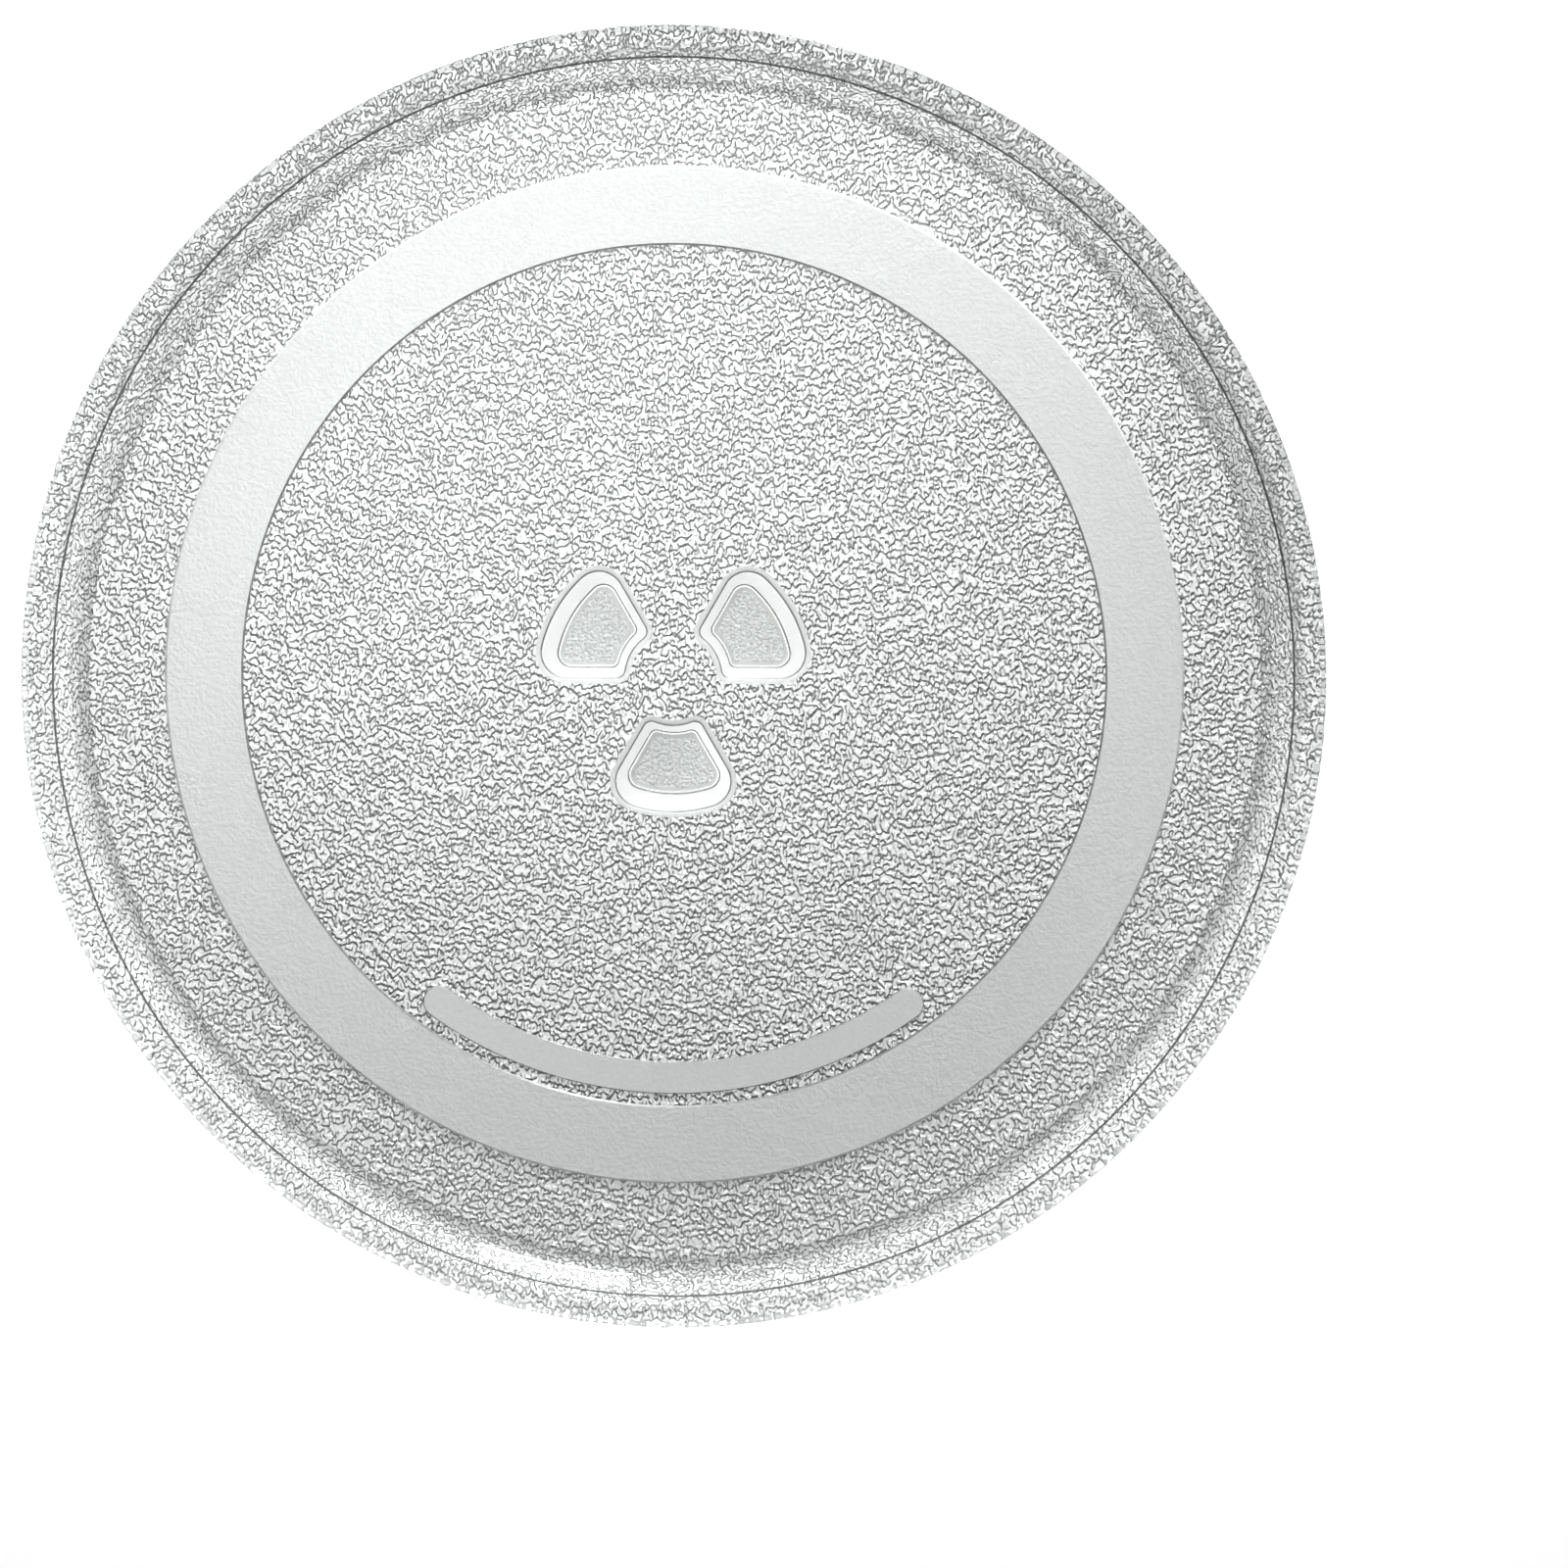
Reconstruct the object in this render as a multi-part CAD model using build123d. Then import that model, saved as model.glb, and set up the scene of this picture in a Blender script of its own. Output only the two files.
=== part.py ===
from build123d import *
from math import cos, radians, sin, tan
import os

# A turntable tray for a microwave oven, pressed in one piece from clear glass.
# Millimetres, +Z up. The origin is on the drive axis, in the plane of the lugs' feet.

# Dish
TRAY_DIAMETER = 245.0
BASE_THICKNESS = 5.0

# Rim: an inclined wall that ends at a crisp line, with a wide lip outside it
WALL_ANGLE = 55.0
WALL_THICKNESS = 4.2
WALL_RISE = 5.5
LIP_WIDTH = 6.1
LIP_SLOPE = 6.0
LIP_THICKNESS = 4.0
LIP_EDGE_ROUND = 1.8
LIP_EDGE_BEVEL = 1.3
FLOOR_ROUND = 4.0
FOOT_ROUND = 8.0

# Smooth track under the base, where the wheels of the support ring run
TRACK_FROM_EDGE = 26.2
TRACK_WIDTH = 14.9
TRACK_DEPTH = 0.4

# Bare curved field beside the track
FIELD_GAP = 2.2
FIELD_WIDTH = 6.2
FIELD_SPAN = 76.0
FIELD_DEPTH = 0.3
FIELD_DIRECTION = -90.0

# Lugs that stand between the arms of the drive coupler
LUG_COUNT = 3
LUG_DIRECTION = -90.0
LUG_SECTOR = 60.0
LUG_HEIGHT = 6.0
LUG_INNER_RADIUS = 9.4
LUG_OUTER_RADIUS = 25.3
LUG_ROOT_CORNER = 4.6
LUG_FOOT_CORNER = 2.7
LUG_INNER_CORNER = 1.5
LUG_INNER_DRAFT = 1.3
LUG_SIDE_DRAFT = 1.5
LUG_OUTER_DRAFT = 2.8
LUG_FOOT_BEVEL = 0.5
LUG_ROOT_FLARE = 0.6

# Levels and radii that follow from the sizes
tray_radius = TRAY_DIAMETER / 2
underside_z = LUG_HEIGHT
floor_z = underside_z + BASE_THICKNESS
lip_line_radius = tray_radius - LIP_WIDTH
track_outer_radius = tray_radius - TRACK_FROM_EDGE
track_inner_radius = track_outer_radius - TRACK_WIDTH
field_radius = track_inner_radius - FIELD_GAP - FIELD_WIDTH / 2


def crossing(point_a, slope_a, point_b, slope_b):
    """Where two lines of the half section meet, each given by a point and a slope in degrees."""
    rise_a = tan(radians(slope_a))
    rise_b = tan(radians(slope_b))
    radius = (point_b[1] - point_a[1] + point_a[0] * rise_a - point_b[0] * rise_b) / (rise_a - rise_b)
    return (radius, point_a[1] + (radius - point_a[0]) * rise_a)


def beneath(point, slope, thickness):
    """A point on the other side of a sheet of glass of that slope and thickness."""
    return (point[0] + thickness * sin(radians(slope)), point[1] - thickness * cos(radians(slope)))


def dish_section():
    """Half section of the dish, from the middle of its floor round the rim to the middle of its underside."""
    lip_line = (lip_line_radius, floor_z + WALL_RISE)
    floor_corner = crossing((0, floor_z), 0, lip_line, WALL_ANGLE)
    wall_back = beneath(floor_corner, WALL_ANGLE, WALL_THICKNESS)
    lip_back = beneath(lip_line, LIP_SLOPE, LIP_THICKNESS)
    lip_climb = tan(radians(LIP_SLOPE))
    edge_top = (tray_radius, lip_line[1] + (tray_radius - lip_line[0]) * lip_climb)
    edge_bottom = (tray_radius, lip_back[1] + (tray_radius - lip_back[0]) * lip_climb)
    bevel_top = (tray_radius, edge_bottom[1] + LIP_EDGE_BEVEL)
    bevel_bottom = (tray_radius - LIP_EDGE_BEVEL, edge_bottom[1] - LIP_EDGE_BEVEL * lip_climb)
    lip_root = crossing(wall_back, WALL_ANGLE, lip_back, LIP_SLOPE)
    wall_foot = crossing((0, underside_z), 0, wall_back, WALL_ANGLE)
    lip_edge_round = min(LIP_EDGE_ROUND, (LIP_THICKNESS - LIP_EDGE_BEVEL) * 0.8)
    outline = FilletPolyline(
        (0, floor_z),
        floor_corner,
        lip_line,
        edge_top,
        bevel_top,
        bevel_bottom,
        lip_root,
        wall_foot,
        (0, underside_z),
        radius=[FLOOR_ROUND, 0, lip_edge_round, 0, 0, 0, FOOT_ROUND],
    )
    axis_line = Line((0, underside_z), (0, floor_z))
    return Plane.XZ * make_face(outline.edges() + axis_line.edges())


def track_section():
    """Half section of the shallow track, with its sides sloped for the mould."""
    outline = Polyline(
        (track_inner_radius, underside_z),
        (track_inner_radius + TRACK_DEPTH, underside_z + TRACK_DEPTH),
        (track_outer_radius - TRACK_DEPTH, underside_z + TRACK_DEPTH),
        (track_outer_radius, underside_z),
        close=True,
    )
    return Plane.XZ * make_face(outline)


def curved_field():
    """The shallow recess with round ends that follows the track round the front."""
    end_turn = FIELD_SPAN - 2 * (FIELD_WIDTH / 2) / field_radius / radians(1)
    middle = CenterArc((0, 0), field_radius, FIELD_DIRECTION - end_turn / 2, end_turn)
    return extrude(Pos(0, 0, underside_z) * SlotArc(middle, FIELD_WIDTH), FIELD_DEPTH)


def lug_outline(z, growth):
    """Outline of one lug along +X at a level: a sector of a ring with rounded corners, grown all round."""
    draft = 1 - z / LUG_HEIGHT
    inner_radius = LUG_INNER_RADIUS + LUG_INNER_DRAFT * draft - growth
    outer_radius = LUG_OUTER_RADIUS - LUG_OUTER_DRAFT * draft + growth
    half_sector = radians(LUG_SECTOR / 2)
    apex = (LUG_SIDE_DRAFT * draft - growth) / sin(half_sector)
    reach = 2 * outer_radius
    spread = reach * tan(half_sector)
    sector = make_face(Polyline((apex, 0), (apex + reach, -spread), (apex + reach, spread), close=True))
    outline = (Circle(outer_radius) - Circle(inner_radius)) & sector
    outer_corner = LUG_ROOT_CORNER + (LUG_FOOT_CORNER - LUG_ROOT_CORNER) * draft
    outline = fillet(outline.vertices().sort_by(Axis.X)[2:], outer_corner)
    outline = fillet(outline.vertices().sort_by(Axis.X)[:2], LUG_INNER_CORNER)
    return Pos(0, 0, z) * outline.face()


def lug():
    """One drafted lug along +X, bevelled round its foot and flared where it meets the base."""
    levels = [
        lug_outline(0, -LUG_FOOT_BEVEL),
        lug_outline(LUG_FOOT_BEVEL, 0),
        lug_outline(LUG_HEIGHT - LUG_ROOT_FLARE, 0),
        lug_outline(LUG_HEIGHT, LUG_ROOT_FLARE),
    ]
    return loft(levels, ruled=True)


tray = revolve(dish_section(), Axis.Z)
tray -= revolve(track_section(), Axis.Z)
tray -= curved_field()
for turn in range(LUG_COUNT):
    tray += Rot(0, 0, LUG_DIRECTION + turn * 360 / LUG_COUNT) * lug()

os.makedirs("parts", exist_ok=True)
export_step(tray.solid(), "parts/glass_tray.step")
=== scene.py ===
from math import atan2, cos, degrees, hypot, pi, radians, sin, sqrt

import bmesh
import bpy
from mathutils import Matrix, Vector


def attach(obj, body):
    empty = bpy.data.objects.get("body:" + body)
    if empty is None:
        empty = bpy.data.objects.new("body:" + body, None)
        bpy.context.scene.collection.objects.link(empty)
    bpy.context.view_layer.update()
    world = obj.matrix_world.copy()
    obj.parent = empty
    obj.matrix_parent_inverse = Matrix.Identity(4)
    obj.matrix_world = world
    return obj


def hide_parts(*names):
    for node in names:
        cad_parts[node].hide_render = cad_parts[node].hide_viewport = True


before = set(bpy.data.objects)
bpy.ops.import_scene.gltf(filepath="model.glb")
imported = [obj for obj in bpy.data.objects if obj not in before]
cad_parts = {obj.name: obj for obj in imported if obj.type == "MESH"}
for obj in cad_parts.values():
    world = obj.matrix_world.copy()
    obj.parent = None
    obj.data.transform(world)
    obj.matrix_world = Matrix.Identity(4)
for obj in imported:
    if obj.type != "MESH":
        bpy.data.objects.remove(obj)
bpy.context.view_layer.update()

# Sizes in millimetres and degrees, as in the part's source; the mesh is scaled to metres at the end.
MILLIMETRE = 0.001
UNDERSIDE = 6.0
FLOOR = 11.0
TRAY_RADIUS = 122.5
LIP_LINE_RADIUS = 116.4
LIP_LINE_HEIGHT = 16.5
LIP_LINE_REACH = 0.25
LIP_TOP_FROM = 16.2
RIM_FROM = 109.8
TRACK_INNER = 81.4
TRACK_OUTER = 96.3
TRACK_DEPTH = 0.4
FIELD_RADIUS = 76.1
FIELD_WIDTH = 6.2
FIELD_SPAN = 76.0
FIELD_DEPTH = 0.3
FIELD_DRAFT = 0.2
FIELD_DIRECTION = -90
LUG_INNER = 9.4
LUG_OUTER = 25.3
LUG_DRAFT = {"inner": 1.3, "side": 1.5, "outer": 2.8}
LUG_CORNER = {"inner": 1.5, "root": 4.6, "foot": 2.7}
LUG_LEAST_CORNER = 0.4
LUG_HALF_SECTOR = 30
LUG_DIRECTIONS = (-90.0, 30.0, 150.0)

# Corners of the dish's half section: radius, height, and the reach and the steps of the rounding there
DISH_CORNERS = (
    (TRACK_INNER, UNDERSIDE, 0, 0),
    (TRACK_INNER + TRACK_DEPTH, UNDERSIDE + TRACK_DEPTH, 0, 0),
    (TRACK_OUTER - TRACK_DEPTH, UNDERSIDE + TRACK_DEPTH, 0, 0),
    (TRACK_OUTER, UNDERSIDE, 0, 0),
    (TRACK_OUTER + 0.5, UNDERSIDE, 0, 0),
    (109.4, UNDERSIDE, 0, 0),
    (114.175, UNDERSIDE, 4.1, 10),
    (118.894, 12.74, 1.1, 6),
    (TRAY_RADIUS, 13.119, 1.6, 8),
    (TRAY_RADIUS, 17.141, 0.8, 8),
    (LIP_LINE_RADIUS, LIP_LINE_HEIGHT, LIP_LINE_REACH, 3),
    (112.549, FLOOR, 2.05, 8),
    (109.6, FLOOR, 0, 0),
    (0, FLOOR, 0, 0),
)

# Finishes of the glass, in the order of their places on the mesh
FINISHES = (
    "polished",
    "crinkled_base",
    "crinkled_rim",
    "satin_track",
    "plain_field",
    "lug_wall",
    "stippled_foot",
    "painted_shade_crease",
)
FINISH = {name: index for index, name in enumerate(FINISHES)}

# Levels of a lug: height, share of the draft, growth, and the finish of the band up to the next level
LUG_LEVELS = (
    (UNDERSIDE, 0.0, 1.3, "plain_field"),
    (UNDERSIDE, 0.0, 0.6, "plain_field"),
    (5.93, 0.0, 0.36, "painted_shade_crease"),
    (5.72, 0.02, 0.12, "lug_wall"),
    (5.35, 0.1, 0.0, "lug_wall"),
    (0.65, 0.89, 0.0, "lug_wall"),
    (0.3, 0.95, -0.06, "painted_shade_crease"),
    (0.09, 1.0, -0.2, "lug_wall"),
    (0.0, 1.0, -0.5, "plain_field"),
    (0.0, 1.0, -1.2, "stippled_foot"),
)

# Fineness of the mesh
ROUND_STEPS = 288
LUG_STEPS = {"outer": 16, "outer_corner": 10, "inner_corner": 6, "inner": 10}
FIELD_STEPS = {"side": 56, "end": 14}
POLE_REACH = 0.01
WELD = 0.0005
SHARP_FROM = 32
FACES_DOWN_OR_OUT = 0.15


# Drawing with a pencil of one vertex: straight runs and arcs


def start_at(bm, x, y, z):
    """A first vertex."""
    return bm.verts.new((x, y, z))


def run_to(bm, pencil, x, y, z):
    """Draws a straight run to a point and gives the vertex there."""
    drawn = bmesh.ops.extrude_vert_indiv(bm, verts=[pencil])
    drawn["verts"][0].co = (x, y, z)
    return drawn["verts"][0]


def swing(bm, pencil, centre, turn, steps):
    """Draws a level arc about a centre, turning by so many degrees, and gives its last vertex."""
    drawn = bmesh.ops.spin(
        bm,
        geom=[pencil],
        cent=centre,
        axis=(0, 0, 1),
        angle=radians(turn),
        steps=steps,
        use_merge=False,
    )
    return [item for item in drawn["geom_last"] if isinstance(item, bmesh.types.BMVert)][0]


def turn_about_axis(turn):
    """A turn about the drive axis by so many degrees."""
    return Matrix.Rotation(radians(turn), 3, "Z")


# The dish: one section, spun about the drive axis


def dish_section(bm):
    """Half section from the inner edge of the roller track, round the rim, to the middle of the floor."""
    pencil = start_at(bm, DISH_CORNERS[0][0], 0, DISH_CORNERS[0][1])
    rounded = []
    for radius, height, reach, steps in DISH_CORNERS[1:]:
        pencil = run_to(bm, pencil, radius, 0, height)
        if reach:
            rounded.append((pencil, reach, steps))
    for vertex, reach, steps in rounded:
        bmesh.ops.bevel(
            bm,
            geom=[vertex],
            offset=reach,
            offset_type="OFFSET",
            affect="VERTICES",
            segments=steps,
            profile=0.5,
            material=-1,
        )


def spin_dish(bm):
    """Spins the section into the dish; its underside is still open inside the roller track."""
    kept = set(bm.verts[:] + bm.edges[:])
    dish_section(bm)
    bmesh.ops.spin(
        bm,
        geom=[item for item in bm.verts[:] + bm.edges[:] if item not in kept],
        cent=(0, 0, 0),
        axis=(0, 0, 1),
        angle=2 * pi,
        steps=ROUND_STEPS,
        use_merge=True,
    )
    pole = [vertex for vertex in bm.verts if hypot(vertex.co.x, vertex.co.y) < POLE_REACH]
    bmesh.ops.remove_doubles(bm, verts=pole, dist=POLE_REACH)
    return [edge for edge in bm.edges if edge.is_boundary and edge not in kept]


# The lugs and the curved field, drawn as outlines level by level


def lug_outline(bm, direction, height, draft, growth):
    """One closed outline of a lug: a sector of a ring with rounded corners, drafted and grown all round."""
    inner = LUG_INNER + LUG_DRAFT["inner"] * draft - growth
    outer = LUG_OUTER - LUG_DRAFT["outer"] * draft + growth
    inset = LUG_DRAFT["side"] * draft - growth
    inner_round = max(LUG_CORNER["inner"] + growth, LUG_LEAST_CORNER)
    outer_round = LUG_CORNER["root"] + (LUG_CORNER["foot"] - LUG_CORNER["root"]) * draft + growth
    side = radians(LUG_HALF_SECTOR)
    along = Vector((cos(side), sin(side), 0))
    across = Vector((-sin(side), cos(side), 0))
    mirrored = Matrix.Scale(-1, 3, (0, 1, 0))
    lift = Vector((0, 0, height))
    turned = turn_about_axis(direction)
    kept = set(bm.edges)

    def corner_centre(reach, rounding):
        """Middle of a corner's round, at a reach from the axis, that touches the side."""
        return along * sqrt(reach**2 - (inset + rounding) ** 2) - across * (inset + rounding)

    def place(point):
        """A point of the lug along +X, turned to its direction and lifted to its level."""
        return turned @ point + lift

    outer_centre = corner_centre(outer - outer_round, outer_round)
    inner_centre = corner_centre(inner + inner_round, inner_round)
    outer_turn = degrees(atan2(outer_centre.y, outer_centre.x))
    inner_turn = degrees(atan2(inner_centre.y, inner_centre.x))
    outer_corner_turn = 90 + LUG_HALF_SECTOR - outer_turn
    inner_corner_turn = 90 - LUG_HALF_SECTOR + inner_turn
    first = start_at(bm, *place(turn_about_axis(-outer_turn) @ Vector((outer, 0, 0))))
    pencil = swing(bm, first, lift, 2 * outer_turn, LUG_STEPS["outer"])
    pencil = swing(bm, pencil, place(outer_centre), outer_corner_turn, LUG_STEPS["outer_corner"])
    pencil = run_to(bm, pencil, *place(inner_centre + across * inner_round))
    pencil = swing(bm, pencil, place(inner_centre), inner_corner_turn, LUG_STEPS["inner_corner"])
    pencil = swing(bm, pencil, lift, -2 * inner_turn, LUG_STEPS["inner"])
    pencil = swing(bm, pencil, place(mirrored @ inner_centre), inner_corner_turn, LUG_STEPS["inner_corner"])
    pencil = run_to(bm, pencil, *place(mirrored @ (outer_centre + across * outer_round)))
    last = swing(bm, pencil, place(mirrored @ outer_centre), outer_corner_turn, LUG_STEPS["outer_corner"])
    bmesh.ops.pointmerge(bm, verts=[first, last], merge_co=first.co)
    return [edge for edge in bm.edges if edge not in kept]


def field_outline(bm, height, inset):
    """One closed outline of the curved field with its round ends."""
    half_width = FIELD_WIDTH / 2 - inset
    half_turn = FIELD_SPAN / 2 - degrees(FIELD_WIDTH / 2 / FIELD_RADIUS)
    kept = set(bm.edges)
    lift = Vector((0, 0, height))
    middle = Vector((FIELD_RADIUS, 0, 0))
    ends = [turn_about_axis(FIELD_DIRECTION + way * half_turn) @ middle + lift for way in (-1, 1)]
    outward = (ends[0] - lift).normalized()
    first = start_at(bm, *(ends[0] + outward * half_width))
    pencil = swing(bm, first, lift, 2 * half_turn, FIELD_STEPS["side"])
    pencil = swing(bm, pencil, ends[1], 180, FIELD_STEPS["end"])
    pencil = swing(bm, pencil, lift, -2 * half_turn, FIELD_STEPS["side"])
    last = swing(bm, pencil, ends[0], 180, FIELD_STEPS["end"])
    bmesh.ops.pointmerge(bm, verts=[first, last], merge_co=first.co)
    return [edge for edge in bm.edges if edge not in kept]


def skin_levels(bm, levels, bands):
    """Joins the outlines level by level and gives each band its finish."""
    for lower, upper, finish in zip(levels, levels[1:], bands):
        band = bmesh.ops.bridge_loops(bm, edges=lower + upper)
        for face in band["faces"]:
            face.material_index = finish


def close_outline(bm, edges, finish):
    """Closes the last outline with one flat face."""
    for face in bmesh.ops.edgeloop_fill(bm, edges=edges)["faces"]:
        face.material_index = finish


# The whole tray


def draw_lugs(bm):
    """The three lugs; gives the outlines where they meet the base."""
    roots = []
    for direction in LUG_DIRECTIONS:
        levels = [
            lug_outline(bm, direction, height, draft, growth) for height, draft, growth, finish in LUG_LEVELS
        ]
        skin_levels(bm, levels, [FINISH[level[3]] for level in LUG_LEVELS])
        close_outline(bm, levels[-1], FINISH["stippled_foot"])
        roots += levels[0]
    return roots


def draw_field(bm):
    """The shallow curved field; gives its outline in the base."""
    levels = [
        field_outline(bm, UNDERSIDE, 0),
        field_outline(bm, UNDERSIDE + FIELD_DEPTH, FIELD_DRAFT),
    ]
    skin_levels(bm, levels, [FINISH["painted_shade_crease"]])
    close_outline(bm, levels[-1], FINISH["plain_field"])
    return levels[0]


def fill_base(bm, openings):
    """The crinkled base between the roller track, the field and the lugs."""
    filled = bmesh.ops.triangle_fill(
        bm,
        use_beauty=True,
        use_dissolve=False,
        edges=openings,
        normal=(0, 0, -1),
    )
    for item in filled["geom"]:
        if isinstance(item, bmesh.types.BMFace):
            item.material_index = FINISH["crinkled_base"]


def finish_dish(bm):
    """Gives the zones of the dish their finishes by radius, and marks what is smooth and what is sharp."""
    for face in bm.faces:
        face.smooth = face.material_index != FINISH["stippled_foot"]
        middle = face.calc_center_median()
        radius = hypot(middle.x, middle.y)
        if face.normal.z < FACES_DOWN_OR_OUT and radius > TRACK_INNER:
            if radius < TRACK_INNER + TRACK_DEPTH:
                face.material_index = FINISH["painted_shade_crease"]
            elif radius < TRACK_OUTER:
                face.material_index = FINISH["satin_track"]
            elif radius < RIM_FROM:
                face.material_index = FINISH["crinkled_base"]
            else:
                face.material_index = FINISH["crinkled_rim"]
        elif middle.z > LIP_TOP_FROM and abs(radius - LIP_LINE_RADIUS) < LIP_LINE_REACH:
            face.material_index = FINISH["painted_shade_crease"]
    for edge in bm.edges:
        edge.smooth = edge.calc_face_angle(0) < radians(SHARP_FROM)


def build_tray():
    """The whole tray as one closed skin."""
    bm = bmesh.new()
    openings = draw_lugs(bm)
    openings += draw_field(bm)
    openings += spin_dish(bm)
    fill_base(bm, openings)
    bmesh.ops.remove_doubles(bm, verts=bm.verts[:], dist=WELD)
    bmesh.ops.recalc_face_normals(bm, faces=bm.faces[:])
    finish_dish(bm)
    bmesh.ops.scale(bm, vec=(MILLIMETRE, MILLIMETRE, MILLIMETRE), verts=bm.verts[:])
    mesh = bpy.data.meshes.new("pressed_glass_tray")
    bm.to_mesh(mesh)
    bm.free()
    tray = bpy.data.objects.new("pressed_glass_tray", mesh)
    bpy.context.scene.collection.objects.link(tray)
    return tray


# Look of the crinkled glass; lengths from here on are in metres
GLASS_IOR = 1.5
RIDGE_SPREAD = 0.15
# Width of the painted shade line along the ridges' steepest slopes
FLANK_SHADE_SPREAD = 0.06
CRINKLE_TURN = (0.7, 0.5, 0.3)
CRINKLE_FINENESS = 1160.0
CRINKLE_ROUGHNESS = 0.22
CRINKLE_SPECULAR = 1.0
# The glass's tint, and the darker painted shade along the ridges' steepest slopes
CRINKLE_TINT_AND_FLANK_SHADE = ((0.95, 0.965, 0.955), (0.88, 0.9, 0.89))
BASE_CLEAR = 0.1
BASE_PASSED = 0.4
BASE_RELIEF = 0.0015
RIM_CLEAR = 0.45
RIM_PASSED = 0.85
RIM_RELIEF = 0.0018
RIM_FADE = (0.122, 0.1233)

# Painted shade on the rim, darker at the bend at the foot of its wall and over the wall, standing in for the shade
# refraction gives there: distance from the origin, and share of its colour
RIM_PAINTED_SHADE_RANGE = (0.1, 0.125)
RIM_PAINTED_SHADE = (
    (0.1098, 1.0),
    (0.1105, 0.95),
    (0.111, 0.5),
    (0.1134, 0.55),
    (0.114, 0.75),
    (0.116, 0.78),
    (0.117, 1.0),
    (0.1215, 1.0),
)

# Look of the grained finishes: light and dark of the grain, least and most roughness, how clear the glass is to the
# eye and how much lamp light it lets by, the grain's fineness and depth, and how solid it is to the eye
GRAIN_RANGE = (0.3, 0.7)
WEAR_SCALE = 28.0
WEAR_RANGE = (0.25, 0.75)
TRACK_LOOK = {"light": (0.69, 0.704, 0.697), "dark": (0.652, 0.665, 0.659)}
GRAINED_LOOKS = {
    "polished": {
        "name": "polished dish glass",
        "light": (0.975, 0.985, 0.98),
        "dark": (0.965, 0.975, 0.97),
        "roughness": (0.012, 0.035),
        "clear": 1.0,
        "passed": 0.95,
        "fineness": 300.0,
    },
    # Painted shade: the creases are near black, standing in for the dark lines that refraction draws along them in
    # clear glass.
    "painted_shade_crease": {
        "name": "crease glass",
        "light": (0.12, 0.124, 0.12),
        "dark": (0.05, 0.052, 0.05),
        "roughness": (0.45, 0.55),
        "clear": 0.4,
        "passed": 0.95,
        "fineness": 900.0,
    },
    "satin_track": {
        "name": "satin roller track glass",
        **TRACK_LOOK,
        "roughness": (0.22, 0.3),
        "clear": 0.25,
        "passed": 0.6,
        "fineness": 1300.0,
        "depth": 0.00004,
    },
    "plain_field": {
        "name": "plain field glass",
        **TRACK_LOOK,
        "roughness": (0.1, 0.16),
        "clear": 0.25,
        "passed": 0.6,
        "fineness": 1300.0,
        "depth": 0.000016,
    },
    "lug_wall": {
        "name": "clear lug glass",
        "light": (0.975, 0.985, 0.98),
        "dark": (0.95, 0.965, 0.96),
        "roughness": (0.03, 0.06),
        "clear": 0.9,
        "passed": 0.8,
        "fineness": 700.0,
        "body": 0.35,
    },
    "stippled_foot": {
        "name": "stippled foot glass",
        "light": (0.92, 0.94, 0.93),
        "dark": (0.66, 0.675, 0.668),
        "roughness": (0.3, 0.4),
        "clear": 0.3,
        "passed": 0.6,
        "fineness": 1600.0,
        "depth": 0.0002,
    },
}

# Places of the colour sockets on a Mix node
MIX_FIRST = 6
MIX_SECOND = 7
MIX_RESULT = 2


def add(tree, kind, place, **settings):
    """A node of a kind at a place, with its settings and the values of its inputs by name."""
    node = tree.nodes.new(kind)
    node.location = place
    for name, value in settings.items():
        if hasattr(node, name):
            setattr(node, name, value)
        else:
            node.inputs[name.replace("_", " ")].default_value = value
    return node


def eased(tree, place, span, result=(0.0, 1.0)):
    """A Map Range node that eases a value from a span to a result."""
    return add(
        tree,
        "ShaderNodeMapRange",
        place,
        interpolation_type="SMOOTHSTEP",
        From_Min=span[0],
        From_Max=span[1],
        To_Min=result[0],
        To_Max=result[1],
    )


def relief_group(name, results):
    """An empty node group that takes a vector and a fineness; gives it with its input and its output."""
    group = bpy.data.node_groups.new(name, "ShaderNodeTree")
    group.interface.new_socket("Vector", in_out="INPUT", socket_type="NodeSocketVector")
    group.interface.new_socket("Fineness", in_out="INPUT", socket_type="NodeSocketFloat")
    for result in results:
        group.interface.new_socket(result, in_out="OUTPUT", socket_type="NodeSocketFloat")
    return group, add(group, "NodeGroupInput", (-900, 0)), add(group, "NodeGroupOutput", (600, 0))


def crinkle_group():
    """Wandering rounded ridges pressed into the glass: their height, and a painted shade line along their steepest
    slopes.
    """
    group, source, result = relief_group("crinkle relief", ("Height", "Flank shade"))
    link = group.links.new
    turned = add(group, "ShaderNodeMapping", (-750, 0), Rotation=CRINKLE_TURN)
    ridges = add(group, "ShaderNodeTexNoise", (-550, 0), noise_dimensions="3D", Detail=0.0, Roughness=0.5)
    height = eased(group, (-300, 100), (0.5 - RIDGE_SPREAD, 0.5 + RIDGE_SPREAD))
    centred = add(group, "ShaderNodeMath", (-300, -150), operation="SUBTRACT")
    centred.inputs[1].default_value = 0.5
    off_flank = add(group, "ShaderNodeMath", (-120, -150), operation="ABSOLUTE")
    # Painted shade: a dark line along the steepest part of each ridge's slope, where refraction draws dark lines in
    # real glass.
    flank_shade = eased(group, (60, -150), (FLANK_SHADE_SPREAD, 0.0))
    link(source.outputs["Vector"], turned.inputs["Vector"])
    link(turned.outputs["Vector"], ridges.inputs["Vector"])
    link(source.outputs["Fineness"], ridges.inputs["Scale"])
    link(ridges.outputs["Fac"], height.inputs["Value"])
    link(ridges.outputs["Fac"], centred.inputs[0])
    link(centred.outputs[0], off_flank.inputs[0])
    link(off_flank.outputs[0], flank_shade.inputs["Value"])
    link(height.outputs["Result"], result.inputs["Height"])
    link(flank_shade.outputs["Result"], result.inputs["Flank shade"])
    return group


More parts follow.
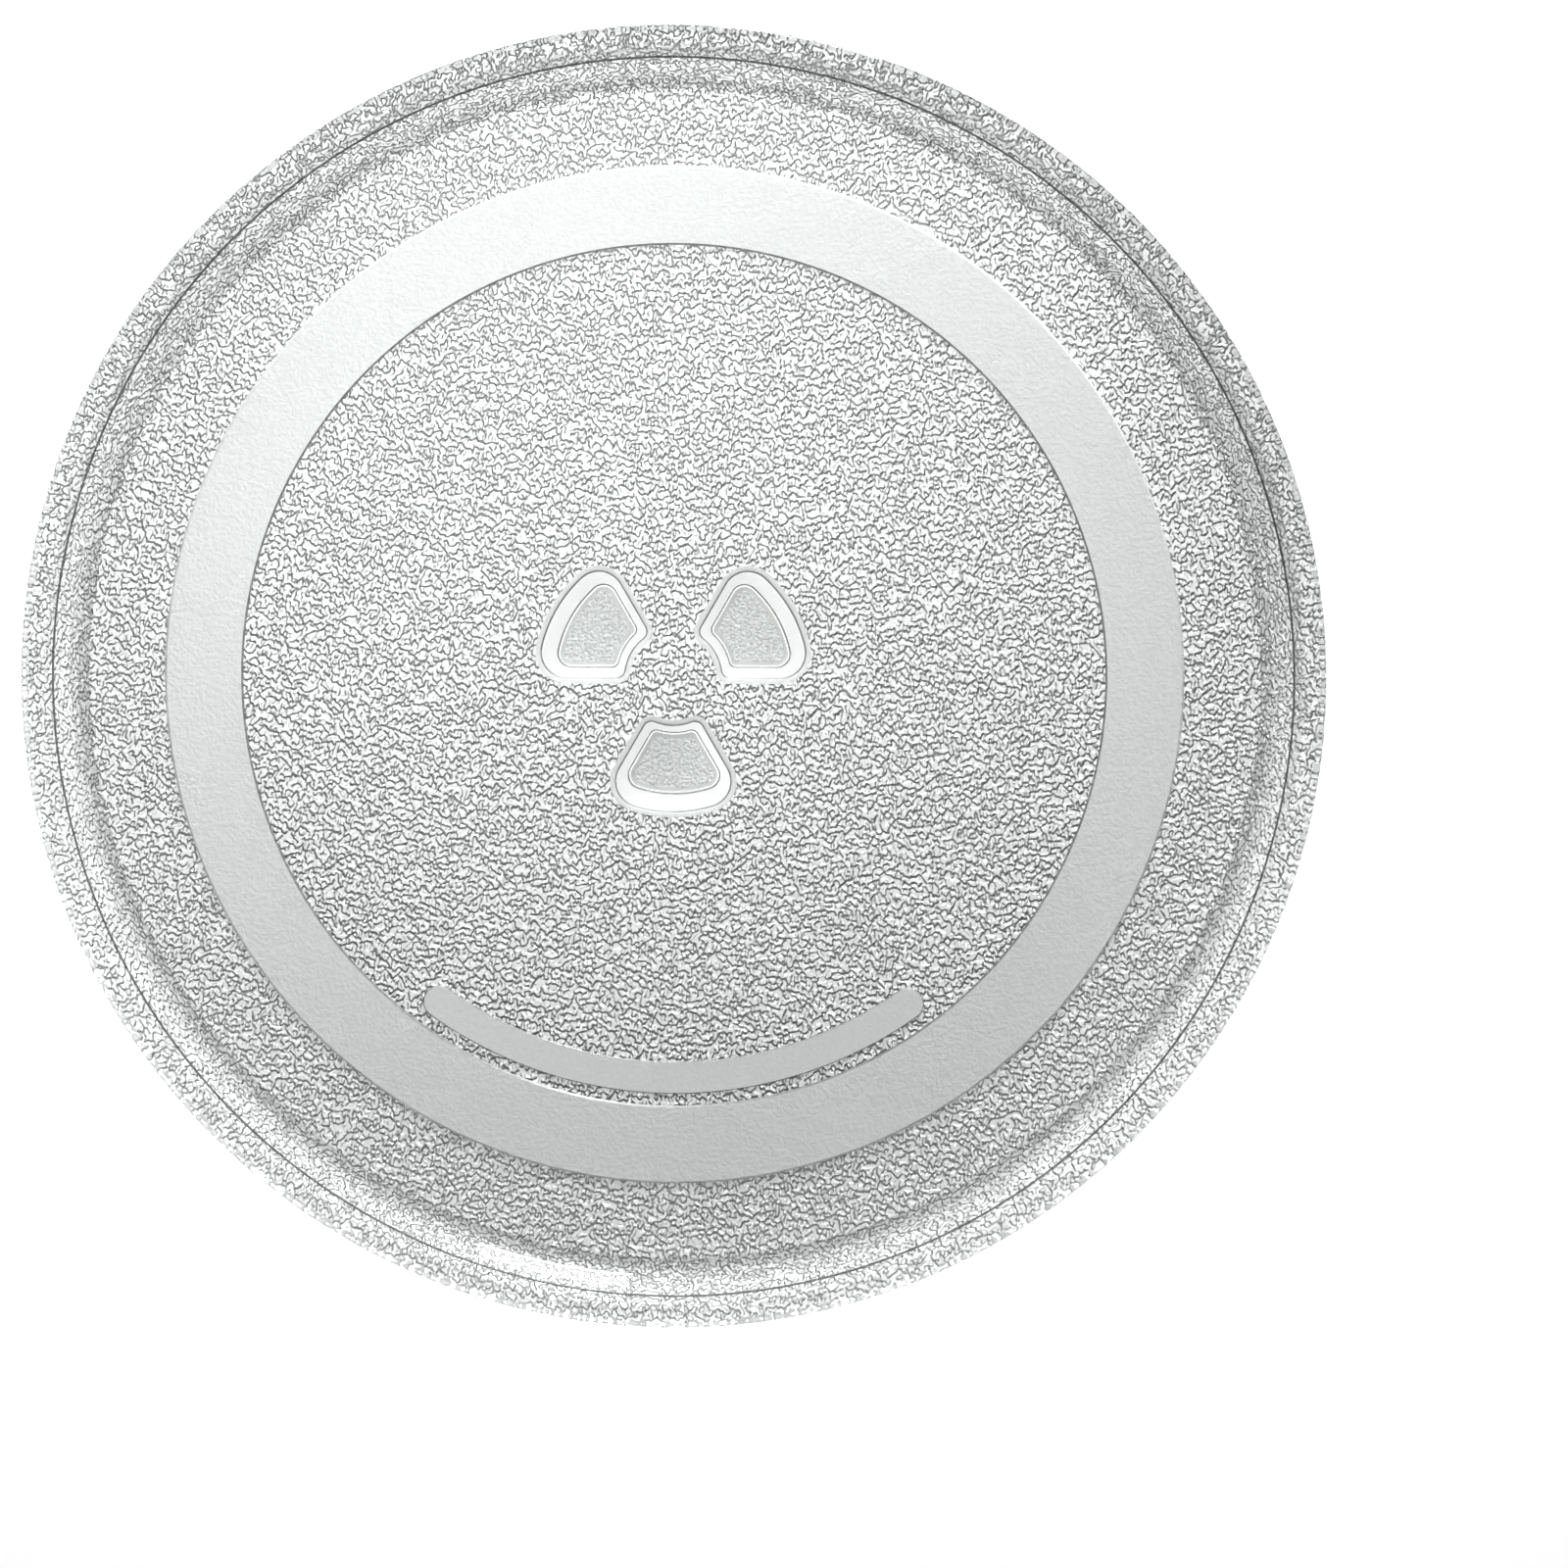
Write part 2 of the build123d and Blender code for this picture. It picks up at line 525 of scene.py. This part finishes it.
def grain_group():
    """The fine grain a mould leaves on glass, and the slow cloud of wear over it."""
    group, source, result = relief_group("mould grain", ("Grain", "Cloud"))
    link = group.links.new
    grain = add(group, "ShaderNodeTexNoise", (-300, 150), noise_dimensions="3D", Detail=1.0, Roughness=0.6)
    cloud = add(group, "ShaderNodeTexNoise", (-300, -150), noise_dimensions="3D", Scale=WEAR_SCALE, Detail=2.0)
    spread = eased(group, (0, 150), GRAIN_RANGE)
    link(source.outputs["Vector"], grain.inputs["Vector"])
    link(source.outputs["Vector"], cloud.inputs["Vector"])
    link(source.outputs["Fineness"], grain.inputs["Scale"])
    link(grain.outputs["Fac"], spread.inputs["Value"])
    link(spread.outputs["Result"], result.inputs["Grain"])
    link(cloud.outputs["Fac"], result.inputs["Cloud"])
    return group


def glass(name, colour, roughness, clear, passed, body=1.0):
    """A glass finish with its own shader, which lets lamp light by; gives the material, its tree and the shader."""
    material = bpy.data.materials.new(name)
    material.use_nodes = True
    tree = material.node_tree
    tree.nodes.clear()
    shader = add(tree, "ShaderNodeBsdfPrincipled", (300, 0), IOR=GLASS_IOR, Transmission_Weight=clear)
    shader.inputs["Base Color"].default_value = (*colour, 1)
    shader.inputs["Roughness"].default_value = roughness
    path = add(tree, "ShaderNodeLightPath", (-300, -500))
    lit_through = add(tree, "ShaderNodeMath", (0, -500), operation="MULTIPLY_ADD")
    lit_through.inputs[1].default_value = 1.0 - passed - body
    lit_through.inputs[2].default_value = body
    tree.links.new(path.outputs["Is Shadow Ray"], lit_through.inputs[0])
    tree.links.new(lit_through.outputs[0], shader.inputs["Alpha"])
    output = add(tree, "ShaderNodeOutputMaterial", (600, 0))
    tree.links.new(shader.outputs["BSDF"], output.inputs["Surface"])
    return material, tree, shader


def shaded(tree, shader, factor, light, dark):
    """Runs the colour from light to dark by a factor."""
    tint = add(tree, "ShaderNodeMix", (0, 150), data_type="RGBA")
    tint.inputs[MIX_FIRST].default_value = (*light, 1)
    tint.inputs[MIX_SECOND].default_value = (*dark, 1)
    tree.links.new(factor, tint.inputs[0])
    tree.links.new(tint.outputs[MIX_RESULT], shader.inputs["Base Color"])


def embossed(tree, shader, height, depth):
    """Raises the surface by a height of so many metres."""
    bump = add(tree, "ShaderNodeBump", (0, -250), Distance=depth)
    tree.links.new(height, bump.inputs["Height"])
    tree.links.new(bump.outputs["Normal"], shader.inputs["Normal"])


def crinkled(name, crinkle, clear, passed):
    """Crinkled glass, still flat; gives the material, its tree, the shader, the place node and the relief's height."""
    material, tree, shader = glass(name, CRINKLE_TINT_AND_FLANK_SHADE[0], CRINKLE_ROUGHNESS, clear, passed)
    shader.inputs["Specular IOR Level"].default_value = CRINKLE_SPECULAR
    place = add(tree, "ShaderNodeTexCoord", (-1500, 0))
    relief = add(tree, "ShaderNodeGroup", (-450, 0), node_tree=crinkle)
    relief.inputs["Fineness"].default_value = CRINKLE_FINENESS
    tree.links.new(place.outputs["Object"], relief.inputs["Vector"])
    # Painted shade: the colour runs from the glass's tint to a darker shade along the ridges' steepest slopes.
    shaded(tree, shader, relief.outputs["Flank shade"], *CRINKLE_TINT_AND_FLANK_SHADE)
    return material, tree, shader, place, relief.outputs["Height"]


def crinkled_base(crinkle):
    """The crinkled glass of the base."""
    material, tree, shader, place, height = crinkled(
        "crinkled base glass", crinkle, BASE_CLEAR, BASE_PASSED
    )
    embossed(tree, shader, height, BASE_RELIEF)
    return material


def crinkled_rim(crinkle):
    """The crinkled glass of the rim: with painted shade at the bend at its foot and over its wall, and smooth on its
    outer edge.
    """
    material, tree, shader, place, height = crinkled("crinkled rim glass", crinkle, RIM_CLEAR, RIM_PASSED)
    link = tree.links.new
    reach = add(tree, "ShaderNodeVectorMath", (-1100, -100), operation="LENGTH")
    link(place.outputs["Object"], reach.inputs[0])
    fade = eased(tree, (-450, -400), RIM_FADE, (1.0, 0.0))
    faded = add(tree, "ShaderNodeMath", (-250, -300), operation="MULTIPLY")
    link(reach.outputs["Value"], fade.inputs["Value"])
    link(height, faded.inputs[0])
    link(fade.outputs["Result"], faded.inputs[1])
    embossed(tree, shader, faded.outputs[0], RIM_RELIEF)
    # Painted shade: the colour is darkened by distance from the origin, in rings round the foot and the wall of the
    # rim.
    start, end = RIM_PAINTED_SHADE_RANGE
    ring = add(tree, "ShaderNodeMapRange", (-450, 400), From_Min=start, From_Max=end)
    shade = add(tree, "ShaderNodeValToRGB", (-250, 400))
    for distance, share in RIM_PAINTED_SHADE:
        stop = shade.color_ramp.elements.new((distance - start) / (end - start))
        stop.color = (share, share, share, 1)
    shade.color_ramp.elements.remove(shade.color_ramp.elements[0])
    shade.color_ramp.elements.remove(shade.color_ramp.elements[-1])
    tint = add(tree, "ShaderNodeMix", (150, 400), data_type="RGBA", blend_type="MULTIPLY")
    tint.inputs[0].default_value = 1.0
    link(reach.outputs["Value"], ring.inputs["Value"])
    link(ring.outputs["Result"], shade.inputs[0])
    link(shader.inputs["Base Color"].links[0].from_socket, tint.inputs[MIX_FIRST])
    link(shade.outputs["Color"], tint.inputs[MIX_SECOND])
    link(tint.outputs[MIX_RESULT], shader.inputs["Base Color"])
    return material


def grained(grain, name, light, dark, roughness, clear, passed, fineness, depth=0, body=1.0):
    """Glass with a fine grain in its colour and its face, and wear that changes its gloss."""
    material, tree, shader = glass(name, light, roughness[0], clear, passed, body)
    place = add(tree, "ShaderNodeTexCoord", (-900, 0))
    mould = add(tree, "ShaderNodeGroup", (-600, 0), node_tree=grain)
    mould.inputs["Fineness"].default_value = fineness
    tree.links.new(place.outputs["Object"], mould.inputs["Vector"])
    shaded(tree, shader, mould.outputs["Grain"], light, dark)
    gloss = eased(tree, (0, -50), WEAR_RANGE, roughness)
    tree.links.new(mould.outputs["Cloud"], gloss.inputs["Value"])
    tree.links.new(gloss.outputs["Result"], shader.inputs["Roughness"])
    if depth:
        embossed(tree, shader, mould.outputs["Grain"], depth)
    return material


def finishes():
    """All finishes of the tray, in the order of their places on the mesh."""
    crinkle = crinkle_group()
    grain = grain_group()
    made = {key: grained(grain, **look) for key, look in GRAINED_LOOKS.items()}
    made["crinkled_base"] = crinkled_base(crinkle)
    made["crinkled_rim"] = crinkled_rim(crinkle)
    return [made[name] for name in FINISHES]


# Floor, light and camera
FLOOR_HALF_WIDTH = 3.0
FLOOR_CLEARANCE = 0.0003
FLOOR_COLOUR = (0.85, 0.85, 0.85, 1)
FLOOR_GLOW = 0.78
FLOOR_BY_GLASS = 0.56
WINDOW_PLACE = (0.12, 0.7, 0.15)
WINDOW_AIM = (0.0, 0.0, 0.0)
WINDOW_SIZE = 0.2
WINDOW_POWER = 10.0
FILL_PLACE = (-0.05, 0.05, 0.16)
FILL_AIM = (-0.05, 0.06, 0.0)
FILL_SIZE = 0.12
FILL_POWER = 0.105
ROOM_COLOUR = (1, 1, 1, 1)
ROOM_STRENGTH = 0.02
CAMERA_PLACE = (0.05, 0.09, 1.3)
SENSOR_WIDTH = 36.0
RIM_LEVEL = 0.0165
PICTURE_WIDTH = 0.29395
TRAY_IN_PICTURE = (0.4282, 0.43388)


def pale_floor_material():
    """Matt and pale, with a glow that only the camera, glass and gloss see."""
    material = bpy.data.materials.new("pale floor")
    material.use_nodes = True
    tree = material.node_tree
    tree.nodes.clear()
    link = tree.links.new
    path = add(tree, "ShaderNodeLightPath", (-900, 200))
    by_glass = add(tree, "ShaderNodeMath", (-750, 100), operation="MAXIMUM")
    glass_glow = add(tree, "ShaderNodeMath", (-600, 100), operation="MULTIPLY")
    glass_glow.inputs[1].default_value = FLOOR_BY_GLASS
    strength = add(tree, "ShaderNodeMath", (-400, 200), operation="MULTIPLY_ADD")
    strength.inputs[1].default_value = FLOOR_GLOW
    glow = add(tree, "ShaderNodeEmission", (-200, 200))
    matt = add(tree, "ShaderNodeBsdfDiffuse", (-200, 0), Color=FLOOR_COLOUR)
    both = add(tree, "ShaderNodeAddShader", (0, 100))
    output = add(tree, "ShaderNodeOutputMaterial", (200, 100))
    link(path.outputs["Is Transmission Ray"], by_glass.inputs[0])
    link(path.outputs["Is Glossy Ray"], by_glass.inputs[1])
    link(by_glass.outputs[0], glass_glow.inputs[0])
    link(path.outputs["Is Camera Ray"], strength.inputs[0])
    link(glass_glow.outputs[0], strength.inputs[2])
    link(strength.outputs[0], glow.inputs["Strength"])
    link(glow.outputs[0], both.inputs[0])
    link(matt.outputs[0], both.inputs[1])
    link(both.outputs[0], output.inputs["Surface"])
    return material


def build_floor():
    """A plain pale floor that reads as white and keeps the tray's shadow."""
    bm = bmesh.new()
    level = Matrix.Translation((0, 0, -FLOOR_CLEARANCE))
    bmesh.ops.create_grid(bm, x_segments=1, y_segments=1, size=FLOOR_HALF_WIDTH, matrix=level)
    mesh = bpy.data.meshes.new("pale_floor")
    bm.to_mesh(mesh)
    bm.free()
    mesh.materials.append(pale_floor_material())
    floor = bpy.data.objects.new("pale_floor", mesh)
    bpy.context.scene.collection.objects.link(floor)


def soft_lamp(name, place, aim, size, power):
    """A square soft lamp aimed at a point; gives its object."""
    lamp = bpy.data.lights.new(name, "AREA")
    lamp.shape = "SQUARE"
    lamp.size = size
    lamp.energy = power
    body = bpy.data.objects.new(name, lamp)
    body.location = place
    body.rotation_euler = (Vector(aim) - Vector(place)).to_track_quat("-Z", "Y").to_euler()
    bpy.context.scene.collection.objects.link(body)
    return body


def light_scene():
    """A soft window light from the far right, a small fill over the far left and a dim pale room."""
    soft_lamp("far window", WINDOW_PLACE, WINDOW_AIM, WINDOW_SIZE, WINDOW_POWER)
    fill = soft_lamp("near fill", FILL_PLACE, FILL_AIM, FILL_SIZE, FILL_POWER)
    fill.visible_glossy = False
    world = bpy.data.worlds.new("pale room")
    world.use_nodes = True
    background = world.node_tree.nodes["Background"]
    background.inputs["Color"].default_value = ROOM_COLOUR
    background.inputs["Strength"].default_value = ROOM_STRENGTH
    bpy.context.scene.world = world


def place_camera():
    """Above the tray and a little aside, with the tray in the upper left of the picture as photographed."""
    camera = bpy.data.cameras.new("overhead camera")
    aside, beyond, height = CAMERA_PLACE
    drop = height - RIM_LEVEL
    camera.sensor_width = SENSOR_WIDTH
    camera.lens = SENSOR_WIDTH * hypot(aside, beyond, drop) / PICTURE_WIDTH
    camera.shift_x = 0.5 - TRAY_IN_PICTURE[0]
    camera.shift_y = TRAY_IN_PICTURE[1] - 0.5
    body = bpy.data.objects.new("overhead camera", camera)
    body.location = CAMERA_PLACE
    body.rotation_euler = (-atan2(beyond, hypot(aside, drop)), atan2(aside, drop), 0)
    bpy.context.scene.collection.objects.link(body)
    bpy.context.scene.camera = body


tray = build_tray()
for finish in finishes():
    tray.data.materials.append(finish)
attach(tray, "root")
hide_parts("glass_tray")
build_floor()
light_scene()
place_camera()
bpy.context.scene.view_settings.view_transform = "Standard"
